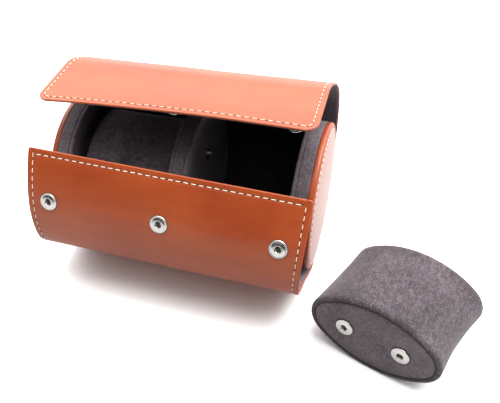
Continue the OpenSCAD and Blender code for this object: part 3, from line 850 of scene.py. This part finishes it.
def end_stitches(place, label):
    """The ring of stitches on a bound rim."""
    verts, faces = [], []
    count = round(2 * math.pi * SEAM_R / DISC_PITCH)
    for i in range(count):
        mid = 2 * math.pi * i / count
        path = stitch_path(DISC_STITCH, lambda t, rise: on_seam(place, mid + t / SEAM_R, rise))
        thread(verts, faces, path, THREAD_R * MM)
    seam = make("end_stitches_" + label, verts, faces, THREAD)
    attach(seam, "case")


for side, label in SIDES:
    for build in (end_disc, end_binding, end_stitches):
        build(on_axis(side * CHEEK_OUT, side), label)

# ---------------------------------------------------------------- pillows

PILLOW_A, PILLOW_B, PILLOW_L, PILLOW_END = 37.4, 23.5, 58.5, 16.0       # half axes, length, end arcs' radius
ROLL, SEAM_IN = 2.6, 3.0                # rolled rim, and the welt's distance in from it
WAIST = 0.4                             # how much narrower the middle is
WELT_Z, WELT_R, WELT_SIDES = 1.05, 0.45, 8
RIM_POINTS = 144                        # points round the oval
FACE_RINGS = [(1.6, -0.3), (1.0, 0.35), (0.62, 1.0), (0.45, 2.2), (0.32, 5), (0.3, 8), (0.4, 10.5)]
PILLOW_SNAPS = (("a", -17.1), ("b", 17.1))


def oval(inset):
    """Evenly spaced points of an oval made of four tangent arcs."""
    a, b, r = PILLOW_A - inset, PILLOW_B - inset, PILLOW_END - inset
    c = a - r
    big = (c * c + b * b - r * r) / (2 * (b - r))
    half = math.degrees(math.atan2(big - b, c))
    quarter = arc(c, 0, r, 0, half, 40) + arc(0, b - big, big, half, 90, 40)[1:]
    loop = [Vector(p) for p in quarter]
    loop += [Vector((-p.x, p.y)) for p in loop[-2::-1]]
    loop += [Vector((p.x, -p.y)) for p in loop[-2:0:-1]]
    run = [0.0]
    for p, q in zip(loop, loop[1:] + loop[:1]):
        run.append(run[-1] + (q - p).length)
    out, i = [], 0
    for k in range(RIM_POINTS):
        want = run[-1] * k / RIM_POINTS
        while run[i + 1] < want:
            i += 1
        out.append(loop[i].lerp(loop[(i + 1) % len(loop)], (want - run[i]) / (run[i + 1] - run[i])))
    return out


def strips(base, count):
    """Quads across the inside of an oval ring, from one long side to the other."""
    return [(base + k, base + k + 1, base + count - k - 1, base + (count - k) % count)
            for k in range(count // 2)]


def from_end(end, z):
    """The height along a pillow of a place at z from its near or far end."""
    return z if end == "near" else PILLOW_L - z


class Pillow:
    """A stuffed oval pillow drawn with its snap face at z = 0 and its length along +Z."""

    def __init__(self, label, place, seed, flare=(0.0, 0.0), lean=0.0):
        self.label, self.place, self.seed = label, place, seed
        self.flare, self.lean = flare, lean
        self.body = "pillow_" + label
        self.cover()
        for end in ("near", "far"):
            self.face(end)
            self.welt(end)
        self.snaps()

    def ring_at(self, z, inset):
        """The oval at a height, a little uneven, flared towards both ends and leaning."""
        points = []
        t = min(max(z / PILLOW_L, 0), 1)
        flared = self.flare[0] * (1 - t) ** 1.5 + self.flare[1] * t ** 1.5
        for p in oval(inset):
            grown = flared + 0.3 * noise.noise(Vector((p.x * 0.05, p.y * 0.05, z * 0.06 + self.seed)))
            x = p.x * (1 + grown / PILLOW_A) + self.lean * t * t
            y = p.y * (1 + 0.4 * grown / PILLOW_B)
            q = self.place @ (Vector((x, y, z)) * MM)
            if self.label == "right":                   # it lies on the table
                q.z = max(q.z, 0.1 * MM)
            points.append(q)
        return points

    def join(self, obj):
        """Fixes a piece to the pillow's body."""
        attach(obj, self.body)

    def cover(self):
        """The suede round the pillow, rolled in at both rims and narrower in the middle."""
        rim = [(1.3, SEAM_IN + 0.25), (0.9, SEAM_IN - 0.1)]
        rim += [(ROLL - ROLL * math.sin(math.radians(a)) + 0.25, ROLL - ROLL * math.cos(math.radians(a)))
                for a in range(78, -1, -13)]
        side = [(ROLL + (PILLOW_L - 2 * ROLL) * i / 25, WAIST * math.sin(math.pi * i / 25))
                for i in range(1, 25)]
        far_rim = [(PILLOW_L - z, inset) for z, inset in reversed(rim[:-1])]
        profile = rim + side + far_rim
        verts = [p for z, inset in profile for p in self.ring_at(z, inset)]
        cover = make(f"pillow_{self.label}_suede", verts, tube_faces(len(profile), RIM_POINTS), COVER)
        self.join(cover)
        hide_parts(f"pillow_{self.label}_cover", f"pillow_{self.label}_core")

    def face(self, end):
        """The slightly raised suede face inside the welt of one end."""
        verts = []
        for z, inset in FACE_RINGS:
            verts += self.ring_at(from_end(end, z), SEAM_IN + inset)
        quads = tube_faces(len(FACE_RINGS), RIM_POINTS) + strips(len(verts) - RIM_POINTS, RIM_POINTS)
        face = make(f"pillow_{self.label}_{end}_suede", verts, quads, FACE)
        self.join(face)
        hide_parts(f"pillow_{self.label}_{end}_face")

    def welt(self, end):
        """The cord in the seam between cover and face, dark with painted seam shadow."""
        line = self.ring_at(from_end(end, WELT_Z), SEAM_IN + 0.05)
        axis = (self.place.to_3x3() @ Vector((0, 0, 1))).normalized()
        turns = [2 * math.pi * k / WELT_SIDES for k in range(WELT_SIDES)]
        verts = []
        for i, p in enumerate(line):
            out = (line[(i + 1) % RIM_POINTS] - line[i - 1]).cross(axis).normalized()
            verts += [p + (axis * math.cos(a) + out * math.sin(a)) * WELT_R * MM for a in turns]
        quads = tube_faces(RIM_POINTS, WELT_SIDES, closed=True)
        self.join(make(f"pillow_{self.label}_{end}_welt", verts, quads, SEAM))

    def snaps(self):
        """The two sockets in the near face."""
        flip = Matrix.Rotation(math.pi, 4, "X")
        for name, x in PILLOW_SNAPS:
            at = self.place @ Matrix.Translation(Vector((x, 0, 0.1)) * MM) @ flip
            turn = 1.2 + x * 0.02
            snap_socket(f"pillow_{self.label}_snap_{name}", at, self.body, SEAM, turn)
        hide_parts(f"pillow_{self.label}_rings")
        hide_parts(f"pillow_{self.label}_springs")


# The left pillow hangs on the divider's studs, and the right one lies beside the case.
STUD_PLATE, PILLOW_GAP = 0.5, 0.1
SEAT_X = -(DIVIDER_W / 2 + STUD_PLATE + PILLOW_GAP + RING_H)
SEAT_Y, SEAT_Z, PILLOW_TILT = -12.85, AXIS_Z + 9.3, 35
LOOSE_X, LOOSE_Y, LOOSE_TURN = HALF + 45.3, -86.9, -20.1
in_case = (Matrix.Translation(Vector((SEAT_X, SEAT_Y, SEAT_Z)) * MM)
           @ Matrix.Rotation(-math.pi / 2, 4, "Y") @ Matrix.Rotation(math.radians(90 - PILLOW_TILT), 4, "Z"))
on_floor = (Matrix.Translation(Vector((LOOSE_X, LOOSE_Y, PILLOW_B)) * MM)
            @ Matrix.Rotation(math.radians(LOOSE_TURN), 4, "Z") @ Matrix.Rotation(-math.pi / 2, 4, "X"))
Pillow("left", in_case, 1.7)
Pillow("right", on_floor, 6.2, flare=(2.7, 3.2), lean=3.2)

# ---------------------------------------------------------------- finish on the CAD nodes that stay

# The first of these words that a node's name holds decides on its material.
# The troughs take the darker suede of painted shade.
KEPT = {"board": BOARD, "trough": DEEP, "stud": NICKEL, "socket_backs": NICKEL, "core": BOARD, "pad": FOAM}
for name, node in frame["nodes"].items():
    chosen = next((mat for word, mat in KEPT.items() if word in name), None)
    if chosen:
        for slot in node.material_slots:
            slot.material = chosen

# ---------------------------------------------------------------- table, light and camera

TABLE_HALF, TABLE_Z = 4.0, -0.0002      # in metres


def table():
    """A table that looks white to the camera but throws little light back on to the case; its glow is painted
    light.
    """
    bm = bmesh.new()
    bmesh.ops.create_grid(bm, x_segments=8, y_segments=8, size=TABLE_HALF)
    mesh = bpy.data.meshes.new("floor")
    bm.to_mesh(mesh)
    bm.free()
    floor = bpy.data.objects.new("floor", mesh)
    floor.location = (0, 0, TABLE_Z)
    bpy.context.scene.collection.objects.link(floor)
    g = Material("white_table")
    seen = g.add("ShaderNodeLightPath").outputs["Is Camera Ray"]
    # Painted light: the camera sees a far lighter table than other rays do, and the table glows, more to
    # other rays.
    g.set(Base_Color=g.mix(seen, (0.37, 0.37, 0.374), (0.9, 0.9, 0.905)),
          Roughness=0.55, Specular_IOR_Level=0.3,
          Emission_Color=(1, 1, 1, 1), Emission_Strength=g.spread(seen, 0.14, 0.02),
          Normal=g.bump(g.noise(60, 2), 0.0001, 0.05))
    mesh.materials.append(g.mat)


def ramped(g, value, low, high, to_low, to_high):
    """Turns a value's way from low to high into a smooth step from to_low to to_high."""
    inputs = {"Value": value, "From Min": low, "From Max": high, "To Min": to_low, "To Max": to_high}
    return g.add("ShaderNodeMapRange", inputs, interpolation_type="SMOOTHSTEP").outputs["Result"]


def studio():
    """A white room, brighter behind and above the case, that the camera sees as plain white."""
    world = bpy.data.worlds.new("studio")
    bpy.context.scene.world = world
    world.use_nodes = True
    g = Graph(world.node_tree)
    direction = g.add("ShaderNodeTexCoord").outputs["Generated"]
    split = g.add("ShaderNodeSeparateXYZ", {0: direction}).outputs
    low_sky = ramped(g, split["Y"], -0.6, 0.6, 0.0, 2.4)
    high_sky = ramped(g, split["Y"], -0.35, 0.25, 1.1, 4.4)
    sky = ramped(g, split["Z"], 0.35, 0.85, low_sky, high_sky)
    lamp_side = g.add("ShaderNodeVectorMath", {0: direction, 1: (0.2, 0.0, 0.98)}, operation="DOT_PRODUCT")
    overhead = ramped(g, lamp_side.outputs["Value"], 0.86, 0.99, 0.0, 7.6)
    both = g.add("ShaderNodeMath", {0: sky, 1: overhead}, operation="ADD").outputs[0]
    background = g.tree.nodes["Background"]
    g.plug(background.inputs["Color"], (1.0, 0.995, 0.985, 1))
    g.plug(background.inputs["Strength"], both)
    backdrop = g.add("ShaderNodeBackground", {"Color": (1, 1, 1, 1)})
    seen = g.add("ShaderNodeLightPath").outputs["Is Camera Ray"]
    chosen = g.add("ShaderNodeMixShader", {0: seen, 1: background.outputs[0], 2: backdrop.outputs[0]})
    g.plug(g.tree.nodes["World Output"].inputs["Surface"], chosen.outputs[0])


LAMP_AT, LAMP_AIM = Vector((0.55, 0.2, 1.2)), Vector((0, 0, 0.05))      # in metres
LAMP_SIZE, LAMP_POWER = 0.7, 5
CAMERA_AT, CAMERA_AIM = Vector((118.77, -313.42, 288.51)) * MM, Vector((35.42, 0, 36.84)) * MM
CAMERA_LENS, CAMERA_ROLL = 43.2, 0.581


def softbox():
    """A square lamp over the case."""
    data = bpy.data.lights.new("top_softbox", "AREA")
    data.shape = "RECTANGLE"
    data.size = data.size_y = LAMP_SIZE
    data.energy = LAMP_POWER
    lamp = bpy.data.objects.new("top_softbox", data)
    lamp.location = LAMP_AT
    lamp.rotation_euler = (LAMP_AIM - LAMP_AT).to_track_quat("-Z", "Y").to_euler()
    bpy.context.scene.collection.objects.link(lamp)


def photo_camera():
    """The camera where the photo was taken from."""
    camera = bpy.data.objects.new("camera", bpy.data.cameras.new("camera"))
    camera.data.sensor_width = 36
    camera.data.lens = CAMERA_LENS
    camera.data.clip_start = 0.01
    forward = (CAMERA_AIM - CAMERA_AT).normalized()
    level = forward.cross(Vector((0, 0, 1))).normalized()
    upright = level.cross(forward)
    c, s = math.cos(math.radians(CAMERA_ROLL)), math.sin(math.radians(CAMERA_ROLL))
    right, up = level * c + upright * s, upright * c - level * s
    axes = Matrix((right, up, -forward)).transposed().to_4x4()
    camera.matrix_world = Matrix.Translation(CAMERA_AT) @ axes
    bpy.context.scene.collection.objects.link(camera)
    bpy.context.scene.camera = camera


table()
studio()
softbox()
photo_camera()
bpy.context.scene.view_settings.view_transform = "Standard"
